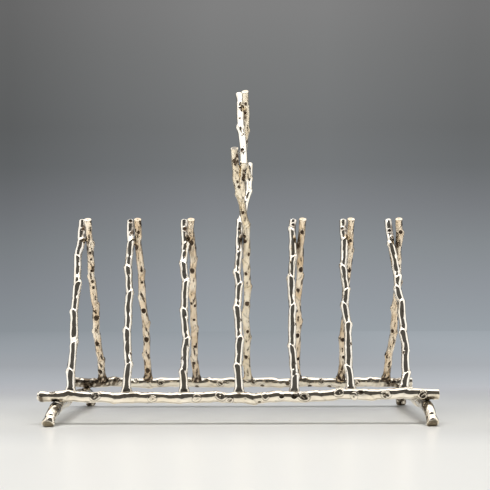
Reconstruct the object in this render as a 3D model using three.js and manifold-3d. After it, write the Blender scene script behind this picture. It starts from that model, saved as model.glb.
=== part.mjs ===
// Twig-pattern toast rack in plated metal, soldered up from bent, knotted rods. Millimetres, +Z up.
// +X runs along the two base rails, +Y runs from the front rail to the rear rail, the feet stand on Z = 0.
import * as THREE from 'three';
import Module from 'manifold-3d';

// Overall size.
const RACK_LENGTH = 177.4;
const RAIL_SPACING = 90;
const RAIL_HEIGHT = 12.2;
const RAIL_RADIUS = 2.45;
// Gap left at every soldered joint, so neighbouring rods never share volume.
const JOINT_GAP = 0.3;

// Dividers: seven stations along the rails, the middle one carries the handle.
const DIVIDER_PITCH = 24.5;
const CROSSING_HEIGHT = 84;
const DIVIDER_TOP = 93.2;
const TWIG_BASE_RADIUS = 1.95;
const TWIG_TIP_RADIUS = 1.84;
const TWIG_SIDES = 8;

// A twig swells at its leaf nodes and thins between them.
const NODE_PITCH = 12.4;
const NODE_HALF_WIDTH = 2.2;
const NODE_SWELL = 1.11;
const NODE_WAIST = 0.97;
// The solder flare at the foot of each upright twig: distance along the twig and widening there.
const FLARE = [[0, 1.3], [3, 1.28], [5, 1.08], [7.4, 1]];

// Sideways lean of each divider twig off its station, from the rail to the tip at equal height steps.
const DIVIDER_DRIFT = {
  1: { front: [-0.6, -1.5, -2.2, -2.8, -2.6], rear: [3.1, 2.2, 1.9, 1.5, 1.5] },
  2: { front: [-0.5, -1.2, -2.1, -3.1, -3.7], rear: [2.0, 2.2, 1.5, 0.8, 0.8] },
  3: { front: [0.2, 0.3, -0.5, -1.4, -2.1], rear: [2.4, 1.7, 1.7, 1.9, 1.7] },
  5: { front: [0, -0.1, -0.1, 0.7, 1.8], rear: [5.0, 4.6, 4.6, 5.0, 5.9] },
  6: { front: [0.4, 0.5, 0.4, 0.9, 1.4], rear: [3.0, 3.3, 3.5, 4.1, 4.4] },
  7: { front: [-0.8, 1.8, 1.2, 0.2, -1.3], rear: [1.5, 3.2, 4.1, 3.8, 2.7] },
};

// How much each rail is cut back from the overall length at its left and right end.
const RAIL_TRIM = { front: [0, 0.6], rear: [1.4, 0] };
// Height of each rail axis above RAIL_HEIGHT, at nine equal steps along the rack.
const RAIL_DRIFT = {
  front: [0.1, -0.1, -0.6, -0.4, -0.6, -0.4, 0.6, 0.9, 0.8],
  rear: [0.7, 0.5, 0.4, 0.5, 0.3, 0.5, 0.3, 0.4, 0.4],
};

// Bowed cross twigs: one under each end of the rails, their splayed cut ends are the feet.
const BOW_RADIUS = 2.6;
const BOW_REAR_RADIUS = 2.4;
const BOW_SIDES = 12;
const FOOT_REACH = 55.9;
const FOOT_TIP_HEIGHT = 1.15;
const BOW_CROWN_HEIGHT = 8.8;
// Widening of a bow at its cut end, in the leg and past the bend: distance and factor.
const FOOT_PROFILE = [[0, 1.12], [1.2, 1.06], [2.8, 0.99], [5, 0.98], [7.2, 1], [9.8, 1]];
// X of each bow at the front foot, front rail, middle, rear rail and rear foot.
const BOW_X = {
  left: [-82.3, -80.4, -80.2, -78.4, -77.9],
  right: [83.6, 82.7, 82.6, 83.0, 84.4],
};

// Handle: the middle pair of twigs runs on past its crossing and opens into a diamond finger loop.
const HANDLE_RADIUS = 1.94;
const HANDLE_TOP_RADIUS = 1.78;
const HANDLE_SIDES = 10;
const LOOP_CORNER_HEIGHT = 117.8;
const LOOP_CROSSING_HEIGHT = 147.4;

const wasm = await Module();
wasm.setup();

// Solid from a triangle list of a closed surface.
function toSolid(geometry) {
  const vertProperties = Float32Array.from(geometry.attributes.position.array);
  const triVerts = Uint32Array.from(geometry.index.array);
  return new wasm.Manifold(new wasm.Mesh({ numProp: 3, vertProperties, triVerts }));
}

// Closed surface geometry from a solid.
function toGeometry(solid) {
  const mesh = solid.getMesh();
  const geometry = new THREE.BufferGeometry();
  const positions = new Float32Array(mesh.numVert * 3);
  for (let i = 0; i < mesh.numVert; i += 1) {
    for (let axis = 0; axis < 3; axis += 1) {
      positions[i * 3 + axis] = mesh.vertProperties[i * mesh.numProp + axis];
    }
  }
  geometry.setAttribute('position', new THREE.BufferAttribute(positions, 3));
  geometry.setIndex(Array.from(mesh.triVerts));
  return geometry;
}

// Stations along a twig of the given length: [distance, radius factor], with a swelling at every node.
// A closing flare repeats the opening one, mirrored, at the far end.
function twigStations(length, firstNode, flare, closingFlare) {
  const stations = flare.map(([s, k]) => [s, k]);
  if (stations.length === 0) {
    stations.push([0, 1]);
  }
  const closing = closingFlare ? flare.map(([s, k]) => [length - s, k]).reverse() : [[length, 1]];
  for (let node = firstNode; node < closing[0][0] - NODE_HALF_WIDTH - 0.5; node += NODE_PITCH) {
    const last = stations[stations.length - 1][0];
    if (node - NODE_HALF_WIDTH > last + 0.4) {
      stations.push([node - NODE_HALF_WIDTH, NODE_WAIST]);
      stations.push([node, NODE_SWELL]);
      stations.push([node + NODE_HALF_WIDTH, NODE_WAIST]);
    }
  }
  return stations.concat(closing);
}

// Rod swept along a smooth line through the points, tapering from startRadius to endRadius.
function rod(spec, clearance = 0) {
  const curve = new THREE.CatmullRomCurve3(spec.points.map((p) => new THREE.Vector3(...p)), false, 'centripetal');
  const length = curve.getLength();
  const reference = new THREE.Vector3(...(spec.reference ?? [1, 0, 0]));
  const stations = twigStations(length, spec.firstNode, spec.flare ?? [], spec.closingFlare);
  const positions = [];
  const index = [];
  const n = spec.sides;
  for (const [s, factor] of stations) {
    const t = s / length;
    const centre = curve.getPointAt(t);
    const tangent = curve.getTangentAt(t);
    const u = reference.clone().addScaledVector(tangent, -reference.dot(tangent)).normalize();
    const v = new THREE.Vector3().crossVectors(tangent, u);
    const radius = THREE.MathUtils.lerp(spec.startRadius, spec.endRadius, t) * factor + clearance;
    for (let j = 0; j < n; j += 1) {
      const angle = (2 * Math.PI * (j + 0.5)) / n;
      const point = centre.clone();
      point.addScaledVector(u, radius * Math.cos(angle));
      point.addScaledVector(v, radius * Math.sin(angle));
      positions.push(point.x, point.y, point.z);
    }
  }
  for (let i = 0; i + 1 < stations.length; i += 1) {
    for (let j = 0; j < n; j += 1) {
      const a = i * n + j;
      const b = i * n + ((j + 1) % n);
      index.push(a, b, b + n, a, b + n, a + n);
    }
  }
  const first = curve.getPointAt(0);
  const last = curve.getPointAt(1);
  positions.push(first.x, first.y, first.z, last.x, last.y, last.z);
  const startCentre = stations.length * n;
  const lastRing = (stations.length - 1) * n;
  for (let j = 0; j < n; j += 1) {
    const next = (j + 1) % n;
    index.push(startCentre, next, j);
    index.push(startCentre + 1, lastRing + j, lastRing + next);
  }
  const geometry = new THREE.BufferGeometry();
  geometry.setAttribute('position', new THREE.Float32BufferAttribute(positions, 3));
  geometry.setIndex(index);
  return geometry;
}

// The rod with the room of every neighbour in the list, grown by the joint gap, taken out of it.
function fitted(spec, neighbours) {
  let solid = toSolid(rod(spec));
  for (const neighbour of neighbours) {
    solid = solid.subtract(toSolid(rod(neighbour, JOINT_GAP)));
  }
  return solid;
}

// Height of a rail axis at a given X, following its drift list.
function railHeight(side, x) {
  const drift = RAIL_DRIFT[side];
  const place = ((x + RACK_LENGTH / 2) / RACK_LENGTH) * (drift.length - 1);
  const i = Math.min(Math.floor(place), drift.length - 2);
  return RAIL_HEIGHT + THREE.MathUtils.lerp(drift[i], drift[i + 1], place - i);
}

function railSpec(side) {
  const y = side === 'front' ? -RAIL_SPACING / 2 : RAIL_SPACING / 2;
  const [trimLeft, trimRight] = RAIL_TRIM[side];
  const steps = RAIL_DRIFT[side].length - 1;
  const points = RAIL_DRIFT[side].map((dz, i) => {
    const x = THREE.MathUtils.lerp(-RACK_LENGTH / 2 + trimLeft, RACK_LENGTH / 2 - trimRight, i / steps);
    return [x, y, RAIL_HEIGHT + dz];
  });
  return {
    points,
    startRadius: RAIL_RADIUS,
    endRadius: RAIL_RADIUS,
    sides: 12,
    reference: [0, 1, 0],
    firstNode: side === 'front' ? 6 : 9,
  };
}

// Divider twig: rises from its rail, leans across the middle plane and stops a little past the crossing.
function dividerSpec(station, side) {
  const sign = side === 'front' ? -1 : 1;
  const railY = (sign * RAIL_SPACING) / 2;
  const slope = RAIL_SPACING / 2 / (CROSSING_HEIGHT - RAIL_HEIGHT);
  const drift = DIVIDER_DRIFT[station][side];
  const stationX = (station - 4) * DIVIDER_PITCH;
  const base = railHeight(side, stationX + drift[0]);
  const points = drift.map((dx, i) => {
    const z = THREE.MathUtils.lerp(base, DIVIDER_TOP, i / (drift.length - 1));
    return [stationX + dx, railY - sign * slope * (z - RAIL_HEIGHT), z];
  });
  return {
    points,
    startRadius: TWIG_BASE_RADIUS,
    endRadius: TWIG_TIP_RADIUS,
    sides: TWIG_SIDES,
    flare: FLARE,
    firstNode: 10 + ((station * 3.7 + (side === 'front' ? 0 : 5)) % NODE_PITCH),
  };
}

function bowSpec(end) {
  const [xFrontFoot, xFrontRail, xMiddle, xRearRail, xRearFoot] = BOW_X[end];
  const y = RAIL_SPACING / 2;
  const seat = RAIL_RADIUS + BOW_RADIUS;
  const frontSeat = railHeight('front', xFrontRail) - seat;
  const rearSeat = railHeight('rear', xRearRail) - seat;
  return {
    points: [
      [xFrontFoot, -FOOT_REACH, FOOT_TIP_HEIGHT],
      [(xFrontFoot * 2 + xFrontRail) / 3, -FOOT_REACH + 2.2, 4.1],
      [(xFrontFoot + xFrontRail * 2) / 3, -y - 5, frontSeat - 0.9],
      [xFrontRail, -y, frontSeat],
      [(xFrontRail + xMiddle) / 2, -y * 0.6, (frontSeat + BOW_CROWN_HEIGHT) / 2],
      [xMiddle, 0, BOW_CROWN_HEIGHT],
      [(xRearRail + xMiddle) / 2, y * 0.6, (rearSeat + BOW_CROWN_HEIGHT) / 2],
      [xRearRail, y, rearSeat],
      [(xRearFoot + xRearRail * 2) / 3, y + 5, rearSeat - 0.9],
      [(xRearFoot * 2 + xRearRail) / 3, FOOT_REACH - 2.2, 4.1],
      [xRearFoot, FOOT_REACH, FOOT_TIP_HEIGHT],
    ],
    startRadius: BOW_RADIUS,
    endRadius: BOW_REAR_RADIUS,
    sides: BOW_SIDES,
    flare: FOOT_PROFILE,
    closingFlare: true,
    firstNode: 15.5,
  };
}

const RAILS = { front: railSpec('front'), rear: railSpec('rear') };

// Middle twig from the front rail: leans away, runs behind the loop and ends as the rear side shoot.
const HANDLE_FRONT = {
  points: [
    [0.1, -45, railHeight('front', 0.1)],
    [-0.1, -32.2, 33],
    [-0.35, -16.6, 58],
    [-0.1, 0, 84],
    [1.8, 7.4, 96],
    [4.1, 15.8, 107],
    [5.1, 21.2, 115.6],
    [5.4, 26, 123.2],
  ],
  startRadius: HANDLE_RADIUS,
  endRadius: 1.65,
  sides: HANDLE_SIDES,
  flare: FLARE,
  firstNode: 16,
};

// Middle twig from the rear rail: leans forward past the crossing and ends as the front side shoot.
const HANDLE_REAR = {
  points: [
    [4.4, 45, railHeight('rear', 4.4)],
    [3.5, 32.2, 33],
    [3.7, 16.6, 58],
    [3.6, 0, 84],
    [2.2, -7.5, 95.5],
    [1.0, -13.6, 104],
    [-1.4, -18, 110.5],
    [-2.0, -25.4, 124.6],
  ],
  startRadius: HANDLE_RADIUS,
  endRadius: 1.85,
  sides: HANDLE_SIDES,
  flare: FLARE,
  firstNode: 13,
};

// Short fork off the rear twig, carrying the lower end of the front upper twig.
const HANDLE_SPUR = {
  points: [
    [1.0, -13.8, 104],
    [1.8, -17.3, 110.8],
    [2.2, -21.6, 120],
  ],
  startRadius: 1.6,
  endRadius: 1.7,
  sides: HANDLE_SIDES,
  firstNode: 9,
};

// The two upper twigs lean back together over the loop and cross just under their cut tips.
const HANDLE_UPPER_FRONT = {
  points: [
    [2.4, -22, 115.6],
    [2.1, -14.6, 126.5],
    [1.2, -7.2, 137],
    [0.35, 0, LOOP_CROSSING_HEIGHT],
    [0, 5.2, 155],
  ],
  startRadius: 1.85,
  endRadius: HANDLE_TOP_RADIUS,
  sides: HANDLE_SIDES,
  firstNode: 9,
};
const HANDLE_UPPER_REAR = {
  points: [
    [4.7, 21.4, 116.2],
    [3.0, 17.2, 122.4],
    [2.5, 11.2, 131.6],
    [3.3, 5, 140.4],
    [3.75, 0, LOOP_CROSSING_HEIGHT],
    [3.0, -5, 154.6],
  ],
  startRadius: 1.75,
  endRadius: 1.85,
  sides: HANDLE_SIDES,
  firstNode: 12,
};

const silver = {
  rail: new THREE.MeshStandardMaterial({ color: 0xd8d2c6, metalness: 1, roughness: 0.16 }),
  divider: new THREE.MeshStandardMaterial({ color: 0xdcd7cd, metalness: 1, roughness: 0.14 }),
  handle: new THREE.MeshStandardMaterial({ color: 0xe0d9cc, metalness: 1, roughness: 0.13 }),
  bow: new THREE.MeshStandardMaterial({ color: 0xcfc8bb, metalness: 1, roughness: 0.18 }),
};

const rack = new THREE.Group();
rack.name = 'toast_rack';

function add(name, geometry, material) {
  const mesh = new THREE.Mesh(geometry, material);
  mesh.name = name;
  rack.add(mesh);
}

for (const side of ['front', 'rear']) {
  add(`rail_${side}`, rod(RAILS[side]), silver.rail);
}

for (const end of ['left', 'right']) {
  const bow = fitted(bowSpec(end), [RAILS.front, RAILS.rear]);
  add(`bow_${end}`, toGeometry(bow.trimByPlane([0, 0, 1], 0)), silver.bow);
}

for (const station of Object.keys(DIVIDER_DRIFT)) {
  const front = dividerSpec(Number(station), 'front');
  const rear = dividerSpec(Number(station), 'rear');
  add(`divider_${station}_front`, toGeometry(fitted(front, [RAILS.front])), silver.divider);
  add(`divider_${station}_rear`, toGeometry(fitted(rear, [RAILS.rear, front])), silver.divider);
}

add('handle_twig_front', toGeometry(fitted(HANDLE_FRONT, [RAILS.front])), silver.handle);
add('handle_twig_rear', toGeometry(fitted(HANDLE_REAR, [RAILS.rear, HANDLE_FRONT])), silver.handle);
const spur = fitted(HANDLE_SPUR, [HANDLE_REAR]);
const spurTop = LOOP_CORNER_HEIGHT - JOINT_GAP / 2;
add('handle_spur_front', toGeometry(spur.trimByPlane([0, 0, -1], -spurTop)), silver.handle);
const upperFront = fitted(HANDLE_UPPER_FRONT, [HANDLE_REAR]);
const upperStart = LOOP_CORNER_HEIGHT + JOINT_GAP / 2;
add('handle_upper_front', toGeometry(upperFront.trimByPlane([0, 0, 1], upperStart)), silver.handle);
const upperRear = fitted(HANDLE_UPPER_REAR, [HANDLE_FRONT, HANDLE_UPPER_FRONT]);
add('handle_upper_rear', toGeometry(upperRear), silver.handle);

export default rack;
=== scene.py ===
import math

import bpy
import numpy as np
from mathutils import Matrix


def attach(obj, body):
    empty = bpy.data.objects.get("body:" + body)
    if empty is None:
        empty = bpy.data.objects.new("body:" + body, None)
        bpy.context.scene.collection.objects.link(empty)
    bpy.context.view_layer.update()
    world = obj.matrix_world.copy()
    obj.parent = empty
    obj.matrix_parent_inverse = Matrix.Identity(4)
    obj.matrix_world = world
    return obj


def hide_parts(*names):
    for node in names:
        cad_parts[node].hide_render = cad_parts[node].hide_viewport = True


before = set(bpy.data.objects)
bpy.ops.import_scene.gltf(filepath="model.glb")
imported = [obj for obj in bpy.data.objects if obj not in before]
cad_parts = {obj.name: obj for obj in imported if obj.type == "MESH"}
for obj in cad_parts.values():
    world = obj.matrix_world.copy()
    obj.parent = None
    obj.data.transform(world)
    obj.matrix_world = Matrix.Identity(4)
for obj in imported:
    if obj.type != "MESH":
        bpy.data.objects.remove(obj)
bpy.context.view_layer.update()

MM = 0.001

# Leaf nodes of each twig: where they sit, as mm of height on an upright twig or of X on a rail.
LEAF_NODES = {
    "divider_1_front": [22, 35, 48.5, 61.5, 75.5, 83],
    "divider_2_front": [25, 40, 57.5, 69.5, 82],
    "divider_3_front": [21.5, 36.5, 49.5, 63, 71.5, 81],
    "divider_5_front": [20, 33, 50.5, 64, 75, 88],
    "divider_6_front": [24, 42.5, 51.5, 59, 70, 83],
    "divider_7_front": [21.5, 38.5, 53, 59, 65, 80.5],
    "handle_twig_front": [24, 36, 50, 61, 67, 77, 92, 108],
    "divider_1_rear": [24, 39, 52, 66, 81],
    "divider_2_rear": [27, 43, 56, 68, 82],
    "divider_3_rear": [25, 40, 58, 74, 88],
    "divider_5_rear": [23, 44, 56, 66, 80],
    "divider_6_rear": [22, 35, 47, 62, 78],
    "divider_7_rear": [26, 38, 50, 63, 76, 86],
    "handle_twig_rear": [22, 35, 47, 61, 73, 90, 104, 115],
    "handle_spur_front": [111],
    "handle_upper_front": [136, 150],
    "handle_upper_rear": [126, 137, 149],
    "rail_front": [-76, -56, -46, -27, -11, 6, 17, 36, 44, 58, 73],
    "rail_rear": [-79, -66, -47, -30, -15, 2, 20, 33, 52, 66, 80],
    "bow_left": [-38, -20, -3, 17, 37],
    "bow_right": [-36, -21, 0, 19, 35],
}

# Round scars with a raised rim: place in mm as above, angle round the twig from its front in degrees
# (towards +X on an upright, upwards on a rail), and radius in mm. A healed one is closed over and pale.
HEALED = True
KNOTS = {
    "divider_1_rear": [(47, 14, 0.95), (34, -14, 0.8), (19.5, -17, 0.8), (78.5, 10, 0.5), (75.5, 14, 0.45),
                       (70, 10, 0.5), (65, 5, 0.55), (62, 10, 0.55), (50.5, -25, 0.45)],
    "divider_2_rear": [(50.5, 0, 0.9), (36, 5, 0.95), (20, 0, 0.9), (70, 22, 0.5), (64.5, 14, 0.5),
                       (58.5, -14, 0.5), (88, 10, 0.6)],
    "divider_3_rear": [(83, -7, 0.9), (70, -10, 0.9), (54, -30, 0.5), (53, 30, 0.5), (46, 10, 0.5),
                       (32.5, 8, 0.5), (24, -20, 0.6)],
    "handle_twig_rear": [(86, -30, 0.6), (84, -20, 0.6), (77.5, 33, 0.6), (68.5, -17, 0.6), (54, 7, 0.85),
                         (97, -10, 0.6), (119.6, -5, 0.6), (118.2, 8, 0.5), (110.4, 10, 0.5),
                         (108.2, 14, 0.55), (40, 20, 0.6), (27, -15, 0.7)],
    "divider_5_rear": [(70.5, 22, 0.85), (60.5, -14, 0.7), (50.5, -27, 0.6), (38, 0, 0.8), (26, 18, 0.6),
                       (88, -5, 0.6)],
    "divider_6_rear": [(44, 15, 0.6), (36, -10, 0.7), (27, 12, 0.6), (70, 20, 0.7), (84, 0, 0.6)],
    "divider_7_rear": [(40, -20, 0.6), (54, 25, 0.7), (72, 0, 0.6), (88, 15, 0.6)],
    "divider_1_front": [(88, 25, 0.6), (55, -60, 0.6)],
    "divider_2_front": [(92, 5, 0.8), (86, 20, 0.6), (30, 60, 0.6)],
    "divider_3_front": [(88, 10, 0.9), (28, -50, 0.6)],
    "divider_5_front": [(90, 0, 0.7), (43, 60, 0.6)],
    "divider_6_front": [(88, -20, 0.7), (34, 40, 0.6)],
    "divider_7_front": [(87, -10, 0.7), (84, 25, 0.6), (30, -40, 0.6)],
    "handle_twig_front": [(116, -25, 0.5), (88, -15, 0.6), (45, 50, 0.6)],
    "handle_upper_front": [(146, 7, 0.6), (140.5, -10, 0.5), (132, 22, 0.5), (123.7, -22, 0.9)],
    "handle_upper_rear": [(150, -10, 0.5), (146, -30, 0.6), (133, 30, 0.6)],
    "handle_spur_front": [(112, 15, 0.8)],
    "rail_front": [(-63, 14, 2.0), (-38, -10, 1.6, HEALED), (-18.5, -5, 1.7, HEALED),
                   (-8, 20, 1.9, HEALED), (-4, -27, 1.4), (11.7, 30, 1.8, HEALED), (18.8, 13, 0.8),
                   (24.3, 8, 0.9), (28.7, 3, 2.1), (44, 25, 1.7, HEALED), (50.5, -15, 1.6, HEALED),
                   (53.5, 28, 0.9), (64.5, -5, 1.9), (80.7, -4, 1.95), (9, -50, 0.6), (-82, 62, 1.0),
                   (-30, 120, 1.4), (33, 150, 1.5), (60, 170, 1.3), (-60, 160, 1.5)],
    "bow_right": [(-54.3, -75, 0.75)],
    "rail_rear": [(76.3, 8, 1.6), (-62.5, 35, 1.5), (-53.5, 35, 1.3), (-40.5, 0, 1.6), (-10, -10, 1.7),
                  (7, 15, 1.4), (42, 20, 1.5), (11.6, -45, 0.8), (24.6, -10, 0.9), (36, -45, 0.8),
                  (46, -50, 0.8), (-22, -50, 0.8), (60, -15, 1.5), (-70, 170, 1.6), (-35, 190, 1.4),
                  (0, 165, 1.7), (30, 185, 1.5), (70, 175, 1.6)],
}

# How each rod ends, start then finish: "joint" runs into its neighbour, "cut" is a sawn face.
ENDS = {
    "rail": ("cut", "cut"),
    "bow": ("cut", "cut"),
    "divider": ("joint", "cut"),
    "handle": ("joint", "cut"),
}
# Kinds of rod that are thicker, with larger swells and scars.
THICK = ("rail", "bow")
# Twigs that lean towards the front: a brighter, warmer silver as painted reflection of the pale table they
# mirror, with brown rind streaks and painted shade on the right.
WARM_TWIGS = [f"divider_{n}_rear" for n in (1, 2, 3, 5, 6, 7)]
WARM_TWIGS += ["handle_twig_rear", "handle_upper_rear", "handle_spur_front"]
# How much of a cut face is dark pith, where it is more than a dot.
PITH = {"handle_twig_rear": 0.7, "divider_6_front": 0.5, "divider_2_front": 0.55}
# Spacing of the mesh along a rod and round it, and of the cuts that find its centre line.
SIDE_STEP = 0.27 * MM
ROUND_STEP = 0.24 * MM
CUT_STEP = 1.1 * MM
# How far a joint reaches on into its neighbour, at a rod's start and at its far end.
START_REACH = 1.6 * MM
FAR_REACH = 0.5 * MM
# An upright twig's line is kept from this distance to its rail's on, and its foot lies this share nearer.
CLEAR_OF_RAIL = 3.6 * MM
FOOT_SHARE = 0.55
# How far a rounded cut face stands proud.
CAP_BULGE = 0.28 * MM
# A knot on a rail or bow wider than this is the stub of a side shoot, and any other is a bud's scar.
STUB_RADIUS = 1.2 * MM
# Seeds of the random surface: the first rod's, and what is added to a rod's for its cut faces.
FIRST_SEED = 100
CAP_SEED = 500


def triangles_of(node):
    """The CAD solid of a node as an array of triangles."""
    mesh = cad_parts[node].data
    mesh.calc_loop_triangles()
    co = np.empty(len(mesh.vertices) * 3)
    mesh.vertices.foreach_get("co", co)
    corners = np.empty(len(mesh.loop_triangles) * 3, int)
    mesh.loop_triangles.foreach_get("vertices", corners)
    return co.reshape(-1, 3)[corners.reshape(-1, 3)]


def unit(v):
    return v / np.linalg.norm(v)


def section(tris, point, normal, reach):
    """Centre and mean radius of a solid's cut by the plane through point, or None where they don't meet."""
    height = (tris - point) @ normal
    above = height > 0
    crossing = above.any(1) & ~above.all(1)
    tris, height, above = tris[crossing], height[crossing], above[crossing]
    if len(tris) < 3:
        return None
    row = np.arange(len(tris))
    lone = np.where(above.sum(1) == 1, above.argmax(1), (~above).argmax(1))
    a, b, c = tris[row, lone], tris[row, (lone + 1) % 3], tris[row, (lone + 2) % 3]
    ha, hb, hc = height[row, lone], height[row, (lone + 1) % 3], height[row, (lone + 2) % 3]
    p = a + (b - a) * (ha / (ha - hb))[:, None]
    q = a + (c - a) * (ha / (ha - hc))[:, None]
    flipped = ~above[row, lone]
    p[flipped], q[flipped] = q[flipped].copy(), p[flipped].copy()
    near = np.linalg.norm((p + q) / 2 - point, axis=1) < reach
    p, q = p[near] - point, q[near] - point
    turn = np.cross(p, q) @ normal
    area = turn.sum() / 2
    if abs(area) < (0.4 * MM) ** 2:
        return None
    centre = point + ((p + q) * turn[:, None]).sum(0) / (6 * area)
    return centre, math.sqrt(abs(area) / math.pi)


def smoothed(values, width):
    """Running average along the first axis that keeps both ends in place."""
    reach = int(3 * width)
    kernel = np.exp(-0.5 * (np.arange(-reach, reach + 1) / width) ** 2)
    kernel /= kernel.sum()
    flat = values.reshape(len(values), -1)
    head = 2 * flat[0] - flat[1 : reach + 1][::-1]
    tail = 2 * flat[-1] - flat[-reach - 1 : -1][::-1]
    long = np.concatenate([head, flat, tail])
    out = np.stack([np.convolve(long[:, k], kernel, "valid") for k in range(flat.shape[1])], 1)
    return out.reshape(values.shape)


def spine(node):
    """Centre line of a rod, from its start to its far end, and its radius at both ends."""
    tris = triangles_of(node)
    points = tris.reshape(-1, 3)
    middle = points.mean(0)
    axis = np.linalg.svd(points - middle, full_matrices=False)[2][0]
    if axis[np.abs(axis).argmax()] < 0:
        axis = -axis
    origin, first_radius = section(tris, middle, axis, 1.0)
    halves, radii = [], []
    for sense in (-1, 1):
        centre, heading, radius = origin, axis * sense, first_radius
        trail, sizes = [], []
        while True:
            found = section(tris, centre + heading * CUT_STEP, heading, 7 * MM)
            if found is None or found[1] < 0.78 * radius:
                break
            heading = unit(heading * 0.5 + unit(found[0] - centre))
            centre, radius = found[0], 0.8 * radius + 0.2 * found[1]
            trail.append(centre)
            sizes.append(found[1])
        close = points[np.linalg.norm(points - centre, axis=1) < 5 * MM]
        trail.append(centre + heading * max(((close - centre) @ heading).max(), 0.1 * MM))
        halves.append(trail)
        radii.append(sizes)
    line = np.array(halves[0][::-1] + [origin] + halves[1])
    line[1:-1] = smoothed(line, 1.5)[1:-1]
    sizes = np.array(radii[0][::-1] + [first_radius] + radii[1])
    if len(sizes) < 24:
        return line, np.median(sizes), np.median(sizes)
    inside = slice(8, -4)
    slope, base = np.polyfit(np.arange(len(sizes))[inside], sizes[inside], 1)
    return line, base, base + slope * len(sizes)


def resampled(line, step):
    """The line with even spacing, its arc lengths and its unit tangents."""
    gaps = np.linalg.norm(np.diff(line, axis=0), axis=1)
    along = np.concatenate([[0], np.cumsum(gaps)])
    s = np.linspace(0, along[-1], max(int(along[-1] / step), 8))
    even = np.stack([np.interp(s, along, line[:, k]) for k in range(3)], 1)
    even[1:-1] = smoothed(even, 1.6 * MM / step)[1:-1]
    tangents = np.gradient(even, s, axis=0)
    tangents = smoothed(tangents, 1.2 * MM / step)
    return even, s, tangents / np.linalg.norm(tangents, axis=1)[:, None]


def ripple(rng, s, phi, lengths, turns, count, strength):
    """Smooth random waves over the rod's side, with that root mean square height."""
    total = np.zeros(np.broadcast(s, phi).shape)
    for _ in range(count):
        wave = 2 * math.pi / rng.uniform(*lengths)
        winding = rng.integers(turns[0], turns[1] + 1) * rng.choice((-1, 1))
        total += np.cos(wave * s + winding * phi + rng.uniform(0, 2 * math.pi))
    return total * strength / math.sqrt(count / 2)


def wrapped(angle):
    return (angle + math.pi) % (2 * math.pi) - math.pi


def smoothstep(x):
    x = np.clip(x, 0, 1)
    return x * x * (3 - 2 * x)


def place_on(line, s, node, mm):
    """Arc length at which the rod passes a stated height or X (Y on a bow)."""
    axis = {"rail": 0, "bow": 1}.get(node.split("_")[0], 2)
    return np.interp(mm * MM, line[:, axis], s)


def scar(rng, arc, turn, at, angle, r, size, healed):
    """The stub of a cut side shoot: a rounded collar, leaning a little, round a rough dark dip."""
    a, b = (arc - at) / r, wrapped(turn - angle) * size / r
    d = np.sqrt(a * a + b * b)
    way = np.arctan2(b, a)
    oval = 0.1 * np.cos(2 * way + rng.uniform(0, 6))
    edge = d * (1 + oval + 0.06 * np.cos(3 * way + rng.uniform(0, 6)))
    lean = rng.uniform(-0.16, 0.16, 2)
    stub = smoothstep((1.12 - edge) / 0.3)
    lift = stub * r * ((0.14 if healed else 0.06) + lean[0] * a + lean[1] * b)
    lift += 0.1 * r * np.exp(-(((edge - 0.9) / 0.22) ** 2))
    lift -= 0.08 * r * np.exp(-(((edge - 1.16) / 0.13) ** 2))
    inside = smoothstep(((0.45 if healed else 0.78) - edge) / 0.2)
    crumbs = 0
    for _ in range(4):
        across = rng.uniform(3, 7) * a
        across = across + rng.uniform(3, 7) * b * rng.choice((-1, 1))
        crumbs = crumbs + np.cos(across + rng.uniform(0, 6))
    lift -= inside * r * ((0.06 if healed else 0.2) + 0.045 * crumbs)
    dark = inside * np.clip((0.35 if healed else 0.85) + 0.35 * crumbs, 0, 1)
    one_side = 0.5 + 0.5 * np.cos(way - rng.uniform(0, 6))
    groove = (0.3 if healed else 0.9) * one_side * np.exp(-(((edge - 1.15) / 0.12) ** 2))
    return lift, np.maximum(dark, groove)


def bud_scar(arc, turn, at, angle, r, size):
    """A small oval dip left by a bud, shallow and dark, with a raised lip."""
    a, b = (arc - at) / (1.2 * r), wrapped(turn - angle) * size / r
    d = np.sqrt(a * a + b * b)
    lift = 0.16 * r * np.exp(-(((d - 1.3) / 0.26) ** 2)) - 0.22 * r * smoothstep((1.15 - d) / 0.5)
    return lift, smoothstep((1.25 - d) / 0.3)


def swells(rng, node, arc, turn, size):
    """Long swells and shorter ripples of the rod, which fade at a twig's soldered foot."""
    big = node.split("_")[0] in THICK
    height = ripple(rng, arc, turn, (9 * MM, 26 * MM), (1, 2), 9, (0.05 if big else 0.042) * size)
    height += ripple(rng, arc, turn, (5 * MM, 11 * MM), (0, 2), 18, (0.024 if big else 0.017) * size)
    height += ripple(rng, arc, turn, (2.5 * MM, 6 * MM), (1, 4), 20, 0.004 * size)
    if node in ("handle_upper_front", "handle_upper_rear"):
        height *= 0.5
    if not big:
        height *= 1 - 0.75 * np.exp(-((arc / (7 * MM)) ** 2))
    return height


def leaf_node(rng, arc, turn, at, side, size, big):
    """A swelling with a slanting ledge, where the rod bends to one side and carries a small bud."""
    away = wrapped(turn - side)
    slant = rng.uniform(1.0, 2.0) * MM * np.cos(away + rng.uniform(-0.6, 0.6))
    u = arc - at - slant - 0.3 * MM * np.cos(2 * away)
    swell = np.exp(-((u / (2.6 * MM)) ** 2))
    fall = (0.8 if big else 0.5) * MM
    rise = np.exp(-((np.minimum(u, 0) / (3 * MM)) ** 2)) * np.exp(-((np.maximum(u, 0) / fall) ** 2))
    height = size * (0.03 * swell + (0.09 if big else 0.085) * rise * (0.75 + 0.25 * np.cos(away)))
    height -= size * 0.02 * np.exp(-(((u - 1.4 * MM) / (0.9 * MM)) ** 2))
    height += (0.3 if big else 0.42) * MM * np.cos(away) * np.exp(-(((arc - at) / (4.2 * MM)) ** 2))
    bud = ((arc - at - 0.9 * MM) / (1.2 * MM)) ** 2 + (away * size / (0.8 * MM)) ** 2
    return height + 0.3 * MM * np.exp(-bud)


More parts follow.
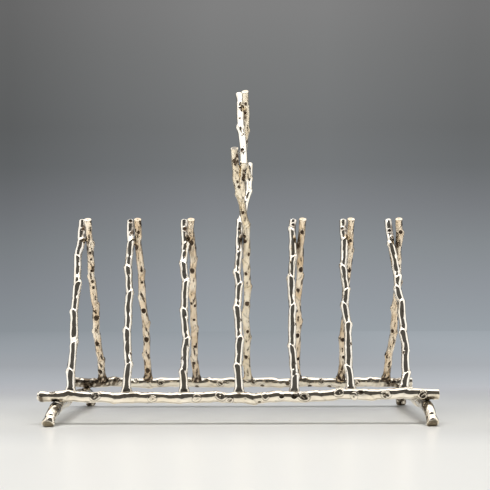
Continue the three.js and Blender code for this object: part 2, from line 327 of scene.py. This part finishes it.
def knots_on(rng, node, line, s, big):
    """The knots of a rod, with a few more on the sides that face away: arc, angle, radius, healed or not."""
    grown = 1.3 if node in WARM_TWIGS else 1.0
    knots = [(place_on(line, s, node, mm), math.radians(degrees), r * grown * MM, bool(healed))
             for mm, degrees, r, *healed in KNOTS.get(node, ())]
    for _ in range(int((s[-1] - 16 * MM) / MM / (11 if big else 12))):
        knots.append((rng.uniform(10 * MM, s[-1] - 6 * MM), math.radians(rng.uniform(75, 285)),
                      rng.uniform(0.45, 0.9) * (1.8 if big else 1) * MM, False))
    return knots


def pit(rng, arc, turn, s, size):
    """A small casting pit, drawn out along the rod."""
    at, angle = rng.uniform(6 * MM, s[-1] - 3 * MM), rng.uniform(0, 2 * math.pi)
    r, along = rng.uniform(0.2, 0.5) * MM, rng.uniform(1, 2.4)
    d2 = ((arc - at) / (r * along)) ** 2 + (wrapped(turn - angle) * size / r) ** 2
    return -0.3 * r * np.exp(-d2), 0.8 * np.exp(-d2 * 1.5)


def bark_and_side_shade(rng, arc, turn, strength):
    """Brown rind streaks in the hollows, more of them at the foot, and painted shade that darkens the right
    side.
    """
    broad = 0.5 + ripple(rng, arc, turn, (5 * MM, 18 * MM), (2, 6), 28, 0.32)
    fine = 0.5 + ripple(rng, arc, turn, (0.9 * MM, 2.6 * MM), (2, 9), 30, 0.35)
    foot = np.exp(-((arc / (13 * MM)) ** 2))
    # Painted shade: the sin(turn) term and edge make the right side and right rim of the twig darker.
    streak = np.clip(broad - 0.72 + 0.16 * np.sin(turn) + 0.2 * foot, 0, 1) * (0.5 + fine) * strength
    edge = 0.45 * smoothstep((np.sin(turn) - 0.6) / 0.4) * (0.6 + 0.4 * broad)
    return -0.07 * MM * np.clip(2.5 * streak, 0, 1), np.maximum(np.clip(3.4 * streak, 0, 0.95), edge)


def relief(node, line, s, phi, radius, seed):
    """Height of the cast surface over the plain rod, and how dark each point is with old patina and painted
    shade.
    """
    rng = np.random.default_rng(seed)
    kind = node.split("_")[0]
    big = kind in THICK
    size = radius.mean()
    arc, turn = s[:, None], phi[None, :]
    height = swells(rng, node, arc, turn, size)
    side = rng.choice((-1, 1))
    for mm in LEAF_NODES.get(node, ()):
        side = (-1 if side > 0 else 1) * math.pi * rng.uniform(*((0.3, 0.75) if big else (0.36, 0.6)))
        height += leaf_node(rng, arc, turn, place_on(line, s, node, mm), side, size, big)
    dark = np.zeros_like(height)
    for at, angle, r, healed in knots_on(rng, node, line, s, big):
        if big and r > STUB_RADIUS:
            lift, shade = scar(rng, arc, turn, at, angle, r, size, healed)
        else:
            lift, shade = bud_scar(arc, turn, at, angle, r, size)
        height += lift
        dark = np.maximum(dark, shade)
    for _ in range(int((s[-1] - 16 * MM) / MM / (4 if big else 7))):
        lift, shade = pit(rng, arc, turn, s, size)
        height += lift
        dark = np.maximum(dark, shade)
    mottle = 0.5 + ripple(rng, arc, turn, (2.0 * MM, 8 * MM), (1, 4), 24, 0.35)
    wrinkle = ripple(rng, arc, turn, (1.5 * MM, 4 * MM), (1, 5), 24, 0.06 * MM)
    for at, reach, angle, strength, rough in stains_and_shade(node, line, s):
        lit = np.ones_like(turn) if angle is None else smoothstep(np.cos(turn - math.radians(angle)) * 1.3)
        near = np.exp(-(((arc - at) / reach) ** 2)) * lit * strength
        even = 0.65 if rough < 0.3 else 0.2
        dark = np.maximum(dark, np.clip(near * (even + 2 * (1 - even) * mottle), 0, 1))
        height += near * rough * wrinkle
    if node in WARM_TWIGS:
        lift, shade = bark_and_side_shade(rng, arc, turn, 0.45 if kind == "handle" else 1.0)
        height += lift
        dark = np.maximum(dark, shade)
    wide = smoothed(height, 2.2)
    for shift in (1, 2, 3):
        wide = wide + np.roll(height, shift, 1) + np.roll(height, -shift, 1)
    cavity = np.clip((wide / 7 - height) / (0.06 * MM), 0, 1)
    return height, np.maximum(dark, 0.6 * cavity)


def stains_and_shade(node, line, s):
    """Where flux and old patina stay dark at the joints, where shade is painted between crossing twigs, and
    where the rear feet are darkened all round.

    Each is an arc length, a reach, the side it faces in degrees (None all round), a strength and a roughness.
    """
    kind = node.split("_")[0]
    found = []
    if kind == "bow":
        for y in (-45, 45):
            found.append((place_on(line, s, node, y), 4.5 * MM, 0, 0.95, 1))
            found.append((place_on(line, s, node, y * 0.84), 4 * MM, None, 0.2, 1))
            found.append((place_on(line, s, node, y * 1.13), 2.5 * MM, 180, 0.7, 1))
        inner = 90 if node.endswith("left") else -90
        found.append((place_on(line, s, node, -49), 3.4 * MM, inner, 1.1, 1.3))
        found.append((place_on(line, s, node, 52), 8 * MM, None, 1.4, 0.8))
    elif kind == "rail":
        for x in (-80.3, 84.1):
            found.append((place_on(line, s, node, x), 4 * MM, -90, 0.95, 0.8))
        for pitch in range(-3, 4):
            found.append((place_on(line, s, node, 24.5 * pitch + 1), 2.6 * MM, 90, 0.35, 0.5))
        if node == "rail_rear":
            found.append((place_on(line, s, node, -74), 11 * MM, 20, 1.6, 0.6))
            found.append((place_on(line, s, node, 79), 6 * MM, 0, 1.0, 0.6))
        else:
            found.append((place_on(line, s, node, -86.5), 2.6 * MM, -60, 0.8, 0.3))
    elif kind == "divider":
        # Painted shade: each twig is darkened near its top on the side facing the twig it crosses.
        if node.endswith("front"):
            found.append((place_on(line, s, node, 88), 4.5 * MM, 80, 0.95, 0.1))
        else:
            found.append((place_on(line, s, node, 81), 5.5 * MM, -75, 0.95, 0.1))
        foot = (1.6 * MM, None, 0.5, 0.4) if node.endswith("front") else (5 * MM, None, 0.9, 0.6)
        found.append((0, *foot))
    elif node in ("handle_twig_front", "handle_twig_rear"):
        inner = -1 if node.endswith("front") else 1
        found.append((0, 1.6 * MM, None, 0.5, 0.4))
        # Painted shade where the handle twigs cross, on the side facing the other twig.
        found.append((place_on(line, s, node, 84), 7 * MM, -90 * inner, 0.8, 0.2))
        if node.endswith("rear"):
            found.append((place_on(line, s, node, 120.5), 3.4 * MM, 75, 1.2, 0.5))
    elif node == "handle_spur_front":
        found.append((place_on(line, s, node, 113.5), 3.2 * MM, 60, 1.3, 0.3))
    elif node == "handle_upper_rear":
        found.append((place_on(line, s, node, 144.5), 3.2 * MM, -60, 1.0, 0.1))
        found.append((place_on(line, s, node, 140), 5 * MM, -75, 0.8, 0.1))
    else:
        found.append((0, 0.5 * MM, None, 1.2, 0.1))
    return found


def frames(tangents, node):
    """Front and side directions across the rod, with no twist: the front faces -Y, or up on a bow."""
    facing = np.array([0, 0, 1.0] if node.startswith("bow") else [0, -1.0, 0])
    front = facing - tangents * (tangents @ facing)[:, None]
    front /= np.linalg.norm(front, axis=1)[:, None]
    side = np.cross(tangents, front)
    return front, -side if node.startswith("rail") else side


RAIL_LINES = {side: spine("rail_" + side)[0] for side in ("front", "rear")}
# Rings that close an end, from its rim to its middle: share of the radius, and height over the end in mm.
CAP_PROFILES = {
    "cut": [(0.985, 0.13), (0.94, 0.23), (0.86, 0.28), (0.66, 0.25), (0.46, 0.19), (0.26, 0.17), (0.1, 0.17)],
    "joint": [(0.9, 0.05), (0.6, 0.06), (0.3, 0.06)],
}


def rooted(line, rail):
    """An upright twig's centre line, with its foot turned into the rail that it stands on."""
    apart = np.linalg.norm(line[:, None] - rail[None], axis=2)
    clear = int(np.argmax(apart.min(1) > CLEAR_OF_RAIL))
    axis = rail[apart[clear].argmin()]
    return np.concatenate([[line[clear] + (axis - line[clear]) * FOOT_SHARE], line[clear:]])


def rod_line(node):
    """A rod's centre line between its finished ends, its radius at both, and the form of each end."""
    kind = node.split("_")[0]
    line, r_start, r_end = spine(node)
    start_end, far_end = ENDS[kind]
    if node == "handle_spur_front":
        far_end = "joint"
    if kind == "divider" or node.startswith("handle_twig"):
        line = rooted(line, RAIL_LINES[node.split("_")[2]])
    elif start_end == "joint" and node != "handle_upper_front":
        line = np.concatenate([line[:1] + unit(line[0] - line[4]) * START_REACH, line])
    if far_end == "joint":
        line = np.concatenate([line, line[-1:] + unit(line[-1] - line[-5]) * FAR_REACH])
    if start_end == "cut":
        line[0] = line[0] + unit(line[1] - line[0]) * CAP_BULGE
    if far_end == "cut":
        line[-1] = line[-1] + unit(line[-2] - line[-1]) * CAP_BULGE
    return line, r_start, r_end, (start_end, far_end)


def shaped_ends(node, s, phi, radius):
    """Height added near a rod's ends: a flared foot, the front rail's worn left end, or a foot's lip."""
    kind = node.split("_")[0]
    height = np.zeros((len(s), len(phi)))
    if kind in ("divider", "handle") and node not in ("handle_spur_front", "handle_upper_front"):
        flare = np.exp(-np.maximum(s - 1.4 * MM, 0) / (1.5 * MM)) * 0.36
        height += (radius * flare)[:, None] * (0.04 + 0.96 * np.sin(phi) ** 2)
    if node == "rail_front":
        rounding = np.clip(1 - s / (1.5 * MM), 0, 1)
        height -= (radius * 0.3 * rounding ** 2)[:, None]
        height += (0.22 * MM * np.exp(-(((s - 2.2 * MM) / (1.3 * MM)) ** 2)))[:, None]
        waist = 0.42 * MM * np.exp(-(((s - 5.6 * MM) / (2.2 * MM)) ** 2))
        height -= waist[:, None] * smoothstep(np.sin(phi))
    if kind == "bow":
        tip = np.minimum(s, s[-1] - s)
        height += (radius * 0.1 * np.exp(-((tip / (1.8 * MM)) ** 2)))[:, None]
        height -= (radius * 0.05 * np.exp(-(((tip - 2.6 * MM) / (0.7 * MM)) ** 2)))[:, None]
    return height


def closed_tube(name, grid, tone, reversed_turn):
    """A mesh of the grid's rings with a point at the middle of each end, and the darkness of every point from
    patina and painted shade.
    """
    n, count = grid.shape[:2]
    verts = np.concatenate([grid.reshape(-1, 3), grid[0].mean(0)[None], grid[-1].mean(0)[None]])
    i, j = np.meshgrid(np.arange(n - 1), np.arange(count), indexing="ij")
    a, b = i * count + j, i * count + (j + 1) % count
    quads = np.stack([a, b, b + count, a + count], -1).reshape(-1, 4)
    k = np.arange(count)
    ahead = (k + 1) % count
    low = np.stack([np.full(count, n * count), ahead, k], 1)
    high = np.stack([np.full(count, n * count + 1), (n - 1) * count + k, (n - 1) * count + ahead], 1)
    if reversed_turn:
        quads, low, high = quads[:, ::-1], low[:, ::-1], high[:, ::-1]
    mesh = bpy.data.meshes.new(name)
    mesh.from_pydata(verts.tolist(), [], quads.tolist() + low.tolist() + high.tolist())
    mesh.polygons.foreach_set("use_smooth", np.ones(len(mesh.polygons), bool))
    shade = mesh.attributes.new("tarnish_and_shade", "FLOAT", "POINT")
    shade.data.foreach_set("value", np.concatenate([tone.reshape(-1), [0.2, 0.2]]).astype(np.float32))
    mesh.update()
    obj = bpy.data.objects.new(name, mesh)
    bpy.context.scene.collection.objects.link(obj)
    return obj


def build_rod(node, seed):
    """The finely cast twig that stands for a CAD rod."""
    kind = node.split("_")[0]
    line, r_start, r_end, ends = rod_line(node)
    centre, s, tangents = resampled(line, SIDE_STEP)
    count = max(int(2 * math.pi * r_start / ROUND_STEP) // 2 * 2, 24)
    phi = np.arange(count) * 2 * math.pi / count
    radius = np.interp(s, [0, s[-1]], [r_start, r_end])
    height, patina_and_shade_mask = relief(node, centre, s, phi, radius, seed)
    height += shaped_ends(node, s, phi, radius)
    front, side = frames(tangents, node)
    ring = np.cos(phi)[None, :, None] * front[:, None, :] + np.sin(phi)[None, :, None] * side[:, None, :]
    body = centre[:, None, :] + ring * (radius[:, None] + height)[:, :, None]
    rows, tones = [body], [patina_and_shade_mask]
    rng = np.random.default_rng(seed + CAP_SEED)
    for form, end, sense in zip(ends, (0, -1), (-1, 1)):
        tilt = rng.uniform(-0.12, 0.12, 2) if form == "cut" else np.zeros(2)
        if kind == "bow":
            tilt = np.array([-0.3, 0.05])
        pith = 0.0 if kind == "bow" else PITH.get(node, 0.15) if end == -1 else 0.15
        for share, out in CAP_PROFILES[form]:
            spread = (body[end] - centre[end]) * share
            lean = spread @ front[end] * tilt[0] * (1 - share)
            lift = out * MM + lean + spread @ side[end] * tilt[1] * (1 - share)
            new = (centre[end] + spread + tangents[end] * sense * lift[:, None])[None]
            place = 0 if end == 0 else len(rows)
            rows.insert(place, new)
            tones.insert(place, np.full((1, count), 0.9 if share < pith else 0.03))
    grid = np.concatenate(rows)
    if kind == "bow":
        grid[:, :, 2] = np.maximum(grid[:, :, 2], 0)
    return closed_tube(node + "_cast", grid, np.concatenate(tones), kind == "rail")


def shader_nodes(material):
    material.use_nodes = True
    tree = material.node_tree
    tree.nodes.clear()
    output = tree.nodes.new("ShaderNodeOutputMaterial")
    return tree, output


def ramp(tree, source, stops):
    node = tree.nodes.new("ShaderNodeValToRGB")
    while len(node.color_ramp.elements) < len(stops):
        node.color_ramp.elements.new(0.5)
    for element, (at, colour) in zip(node.color_ramp.elements, stops):
        element.position = at
        element.color = (*colour, 1)
    tree.links.new(source, node.inputs["Fac"])
    return node


def noise(tree, coords, scale, detail=2.0, rough=0.5, stretch=None):
    node = tree.nodes.new("ShaderNodeTexNoise")
    node.inputs["Scale"].default_value = scale
    node.inputs["Detail"].default_value = detail
    node.inputs["Roughness"].default_value = rough
    if stretch:
        mapping = tree.nodes.new("ShaderNodeMapping")
        mapping.inputs["Scale"].default_value = stretch
        tree.links.new(coords, mapping.inputs["Vector"])
        coords = mapping.outputs["Vector"]
    tree.links.new(coords, node.inputs["Vector"])
    return node


def mix_colour(tree, factor, a, b, blend="MIX"):
    node = tree.nodes.new("ShaderNodeMix")
    node.data_type = "RGBA"
    node.blend_type = blend
    for socket, value in (("Factor", factor), ("A", a), ("B", b)):
        kind = "VALUE" if socket == "Factor" else "RGBA"
        target = [i for i in node.inputs if i.name == socket and i.type == kind][0]
        if isinstance(value, (int, float)):
            target.default_value = value
        elif isinstance(value, tuple):
            target.default_value = (*value, 1)
        else:
            tree.links.new(value, target)
    return [o for o in node.outputs if o.type == "RGBA"][0]


def sums(tree, operation, a, b, clamp=False):
    node = tree.nodes.new("ShaderNodeMath")
    node.operation = operation
    node.use_clamp = clamp
    for socket, value in zip(node.inputs, (a, b)):
        if isinstance(value, (int, float)):
            socket.default_value = value
        else:
            tree.links.new(value, socket)
    return node.outputs[0]


def silver(name, bright, tarnish_and_shade, shine, patch_amount, aged=(0.97, 0.93, 0.86)):
    """Polished plate: bright on the high spots, browned and duller in the hollows, in soft patches and where
    shade is painted on.

    The bright colour drifts to itself times aged, and shine is the least roughness.
    """
    material = bpy.data.materials.new(name)
    tree, output = shader_nodes(material)
    coords = tree.nodes.new("ShaderNodeTexCoord").outputs["Object"]
    # The rod's dark mask: patina in the hollows, joint stains, and painted shade.
    patina_and_shade_mask = tree.nodes.new("ShaderNodeAttribute")
    patina_and_shade_mask.attribute_name = "tarnish_and_shade"
    clouds = noise(tree, coords, 70, 3, 0.6).outputs["Fac"]
    patches = ramp(tree, clouds, [(0.5, (0, 0, 0)), (0.72, (1, 1, 1))])
    dust = noise(tree, coords, 900, 2, 0.6).outputs["Fac"]
    specks = ramp(tree, dust, [(0.35, (1, 1, 1)), (0.6, (0, 0, 0))])
    worn = sums(tree, "MULTIPLY", patches.outputs["Color"], patch_amount)
    freckles = sums(tree, "ADD", sums(tree, "MULTIPLY", specks.outputs["Color"], 0.5), 0.5)
    freckled = sums(tree, "MULTIPLY", worn, freckles)
    depth = sums(tree, "MULTIPLY", patina_and_shade_mask.outputs["Fac"], 0.97)
    dull = sums(tree, "ADD", depth, freckled, True)
    drift = ramp(tree, noise(tree, coords, 130, 2).outputs["Fac"], [(0.3, (0, 0, 0)), (0.75, (1, 1, 1))])
    tone = mix_colour(tree, drift.outputs["Color"], bright, tuple(c * f for c, f in zip(bright, aged)))
    colour = mix_colour(tree, dull, tone, tarnish_and_shade)
    surface = tree.nodes.new("ShaderNodeBsdfPrincipled")
    surface.inputs["Metallic"].default_value = 1.0
    tree.links.new(colour, surface.inputs["Base Color"])
    hazy = noise(tree, coords, 240, 3, 0.6)
    rough = sums(tree, "ADD", sums(tree, "MULTIPLY", hazy.outputs["Fac"], 0.06), shine)
    rough = sums(tree, "ADD", rough, sums(tree, "MULTIPLY", dull, 0.22), True)
    tree.links.new(rough, surface.inputs["Roughness"])
    bump = tree.nodes.new("ShaderNodeBump")
    bump.inputs["Strength"].default_value = 0.1
    bump.inputs["Distance"].default_value = 0.04 * MM
    grain = noise(tree, coords, 1500, 3, 0.6)
    tree.links.new(grain.outputs["Fac"], bump.inputs["Height"])
    tree.links.new(bump.outputs["Normal"], surface.inputs["Normal"])
    tree.links.new(surface.outputs["BSDF"], output.inputs["Surface"])
    return material


FINISH = {
    "rail": silver("silver_rail", (0.92, 0.85, 0.73), (0.13, 0.1, 0.07), 0.02, 0.15),
    "bow": silver("silver_bow", (0.92, 0.85, 0.73), (0.12, 0.09, 0.06), 0.03, 0.25),
    "divider": silver("silver_divider", (0.93, 0.88, 0.79), (0.14, 0.1, 0.07), 0.02, 0.12),
    # Painted reflection: the twigs that lean forward get brighter, warmer copies of the same silver for the
    # pale table they mirror; the brown aged colour is real patina.
    "rear": silver("silver_divider_rear", (1.0, 0.9, 0.75), (0.05, 0.033, 0.022), 0.05, 0.2,
                   (0.7, 0.57, 0.42)),
    "handle": silver("silver_handle", (0.93, 0.88, 0.79), (0.14, 0.1, 0.07), 0.02, 0.15),
    "warm": silver("silver_handle_warm", (0.95, 0.87, 0.72), (0.07, 0.045, 0.028), 0.04, 0.1,
                   (0.88, 0.8, 0.68)),
}

for number, node in enumerate(sorted(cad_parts)):
    kind = node.split("_")[0]
    rod = build_rod(node, FIRST_SEED + number)
    # Forward-leaning twigs take the brighter painted-reflection copies of the silver.
    finish = kind
    if node in WARM_TWIGS:
        finish = "rear" if kind == "divider" else "warm"
    rod.data.materials.append(FINISH[finish])
    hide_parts(node)
    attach(rod, "root")


def gradient_stops(material, axis, low, high, stops):
    """A colour gradient along one axis of the stage, as a socket."""
    tree = material.node_tree
    coords = tree.nodes.new("ShaderNodeTexCoord").outputs["Object"]
    split = tree.nodes.new("ShaderNodeSeparateXYZ")
    tree.links.new(coords, split.inputs[0])
    spread = tree.nodes.new("ShaderNodeMapRange")
    spread.inputs["From Min"].default_value = low
    spread.inputs["From Max"].default_value = high
    tree.links.new(split.outputs[axis], spread.inputs["Value"])
    return ramp(tree, spread.outputs[0], [((at - low) / (high - low), c) for at, c in stops]).outputs["Color"]


def sheet(name, corners):
    mesh = bpy.data.meshes.new(name)
    mesh.from_pydata(corners, [], [(0, 1, 2, 3)])
    obj = bpy.data.objects.new(name, mesh)
    bpy.context.scene.collection.objects.link(obj)
    return obj


def shown(red, green, blue):
    """Linear colour of a display tone out of 255."""
    return tuple((c / 255) ** 2.2 for c in (red, green, blue))


floor = sheet("floor", [(-4, -4, 0), (4, -4, 0), (4, 1.9, 0), (-4, 1.9, 0)])
paper = bpy.data.materials.new("table_paper")
tree, output = shader_nodes(paper)
table = tree.nodes.new("ShaderNodeBsdfPrincipled")
table.inputs["Roughness"].default_value = 0.3
table.inputs["Specular IOR Level"].default_value = 0.15
# Painted shade: the table's colour darkens under the rack and greys towards the back, as painted falloff of
# the light.
pale = gradient_stops(paper, 1, -0.3, 0.3, [(-0.3, (0.91, 0.895, 0.85)), (-0.13, (0.92, 0.905, 0.86)),
                                           (-0.1, (0.85, 0.84, 0.805)), (-0.075, (0.79, 0.78, 0.745)),
                                           (-0.05, (0.79, 0.78, 0.74)), (0.0, (0.77, 0.765, 0.735)),
                                           (0.06, (0.71, 0.71, 0.7)), (0.15, (0.6, 0.605, 0.62))])
# Painted reflection: the painted shade above shows only where the table is seen at a grazing angle; from
# steeper views the table is an even pale (1.0, 0.99, 0.95).
slant = tree.nodes.new("ShaderNodeLayerWeight")
slant.inputs["Blend"].default_value = 0.5
skimmed = ramp(tree, slant.outputs["Facing"], [(0.6, (0, 0, 0)), (0.8, (1, 1, 1))])
painted_grazing_tone = mix_colour(tree, skimmed.outputs["Color"], (1.0, 0.99, 0.95), pale)
# Painted shade: the table left of the rack is kept lighter, as if outside the rack's shade, and the rest
# darker.
left = gradient_stops(paper, 0, -0.2, 0.2, [(-0.115, (0.9, 0.9, 0.9)), (-0.075, (0.82, 0.82, 0.82))])
tree.links.new(mix_colour(tree, 1.0, painted_grazing_tone, left, "MULTIPLY"), table.inputs["Base Color"])
# Painted light: beyond the rack the table turns into a glow in greys fading into the backdrop, darker to the
# left, lit by no lamp.
glow = tree.nodes.new("ShaderNodeEmission")
far = gradient_stops(paper, 1, 0.1, 1.9, [(0.1, shown(198, 200, 200)), (0.15, shown(192, 193, 197)),
                                          (0.27, shown(181, 185, 190)), (0.48, shown(167, 171, 176)),
                                          (0.85, shown(161, 167, 173)), (1.9, shown(153, 160, 166))])
breadth = gradient_stops(paper, 0, -0.6, 0.6, [(-0.48, (0.77, 0.77, 0.77)), (-0.27, (0.84, 0.84, 0.84)),
                                              (-0.1, (0.88, 0.88, 0.88)), (0.1, (0.92, 0.92, 0.92)),
                                              (0.27, (1.0, 1.0, 1.0))])
tree.links.new(mix_colour(tree, 1.0, far, breadth, "MULTIPLY"), glow.inputs["Color"])
glow.inputs["Strength"].default_value = 1.06
# The painted glow takes over from the lit table between 0.08 and 0.2 m behind the rack.
blend = tree.nodes.new("ShaderNodeMixShader")
reach = gradient_stops(paper, 1, 0.0, 0.5, [(0.08, (0, 0, 0)), (0.2, (1, 1, 1))])
tree.links.new(reach, blend.inputs["Fac"])
tree.links.new(table.outputs["BSDF"], blend.inputs[1])
tree.links.new(glow.outputs["Emission"], blend.inputs[2])
tree.links.new(blend.outputs["Shader"], output.inputs["Surface"])
floor.data.materials.append(paper)

backdrop = sheet("backdrop", [(-4, 1.9, 0), (4, 1.9, 0), (4, 1.9, 4), (-4, 1.9, 4)])
# Painted light: the backdrop is a glow, not a lit sheet; its greys darken going up and towards the sides and
# lighten near the table, as falloff of studio light.
wall = bpy.data.materials.new("grey_wall")
tree, output = shader_nodes(wall)
upright = gradient_stops(wall, 2, 0.0, 0.8, [(0.0, shown(153, 160, 166)), (0.095, shown(146, 151, 157)),
                                            (0.177, shown(138, 143, 147)), (0.26, shown(128, 131, 135)),
                                            (0.34, shown(117, 120, 122)), (0.42, shown(116, 118, 119)),
                                            (0.58, shown(123, 124, 124)), (0.67, shown(128, 128, 128))])
across = gradient_stops(wall, 0, -0.6, 0.6, [(-0.48, (0.61, 0.61, 0.61)), (-0.28, (0.82, 0.82, 0.82)),
                                             (-0.07, (0.98, 0.98, 0.98)), (0.17, (1.0, 1.0, 1.0)),
                                             (0.47, (0.78, 0.78, 0.78))])
near_table = gradient_stops(wall, 0, -0.6, 0.6, [(-0.48, (0.8, 0.8, 0.8)), (-0.28, (0.87, 0.87, 0.87)),
                                                 (-0.07, (0.98, 0.98, 0.98)), (0.47, (1.0, 1.0, 1.0))])
low = gradient_stops(wall, 2, 0.0, 0.8, [(0.0, (1, 1, 1)), (0.1, (0.8, 0.8, 0.8)), (0.18, (0.65, 0.65, 0.65)),
                                         (0.26, (0.42, 0.42, 0.42)), (0.42, (0, 0, 0))])
even = mix_colour(tree, low, across, near_table)
shade = mix_colour(tree, 1.0, upright, even, "MULTIPLY")
glow = tree.nodes.new("ShaderNodeEmission")
tree.links.new(shade, glow.inputs["Color"])
tree.links.new(glow.outputs["Emission"], output.inputs["Surface"])
backdrop.data.materials.append(wall)

world = bpy.data.worlds.new("studio")
bpy.context.scene.world = world
world.use_nodes = True
world.node_tree.nodes["Background"].inputs["Color"].default_value = (0.09, 0.087, 0.083, 1)
world.node_tree.nodes["Background"].inputs["Strength"].default_value = 1.0


def softbox(name, place, aim, size, power, lights):
    light = bpy.data.lights.new(name, "AREA")
    light.shape = "RECTANGLE"
    light.size, light.size_y = size
    light.energy = power
    obj = bpy.data.objects.new(name, light)
    obj.visible_diffuse = lights == "table"
    obj.visible_glossy = lights == "metal"
    direction = np.array(aim, float) - np.array(place, float)
    z = -unit(direction)
    x = unit(np.cross((0, 0, 1) if abs(z[2]) < 0.95 else (0, 1, 0), z))
    y = np.cross(z, x)
    obj.matrix_world = Matrix([[x[k], y[k], z[k], place[k]] for k in range(3)] + [[0, 0, 0, 1]])
    bpy.context.scene.collection.objects.link(obj)


# Name, place, aim, size, radiance and what it lights: the metal mirrors four boxes, and a broad one lights
# the table.
SOFTBOXES = [
    ("softbox_key", (0, -0.0125, 0.85), (0, -0.0125, 0), (1.1, 0.325), 2.5, "metal"),
    ("softbox_back", (0, 0.6, 0.85), (0, 0.1, 0), (1.5, 0.85), 1.4, "metal"),
    ("softbox_left", (-0.75, 0.16, 0.42), (0, 0.1, 0.08), (0.7, 0.8), 1.2, "metal"),
    ("softbox_right", (0.75, 0.16, 0.42), (0, 0.1, 0.08), (0.7, 0.8), 1.2, "metal"),
    ("softbox_table", (0, -0.2, 0.85), (0, -0.2, 0), (1.0, 0.46), 8.5, "table"),
]
for name, place, aim, size, radiance, lights in SOFTBOXES:
    softbox(name, place, aim, size, radiance * math.pi * size[0] * size[1], lights)

# A long lens at a third of the rack's height, looking up by a few degrees and rolled by a tenth of one.
CAMERA_PLACE = (0.00285, -0.58, 0.0519)
LOOKS_UP = math.radians(2.89)
ROLL = -0.0018
camera_data = bpy.data.cameras.new("camera")
camera_data.lens = 88.8
camera_data.sensor_width = 36
camera_data.clip_start = 0.02
camera = bpy.data.objects.new("camera", camera_data)
facing = Matrix.Rotation(math.radians(90) + LOOKS_UP, 4, "X")
camera.matrix_world = Matrix.Translation(CAMERA_PLACE) @ facing @ Matrix.Rotation(ROLL, 4, "Z")
bpy.context.scene.collection.objects.link(camera)
bpy.context.scene.camera = camera
bpy.context.scene.view_settings.view_transform = "Standard"
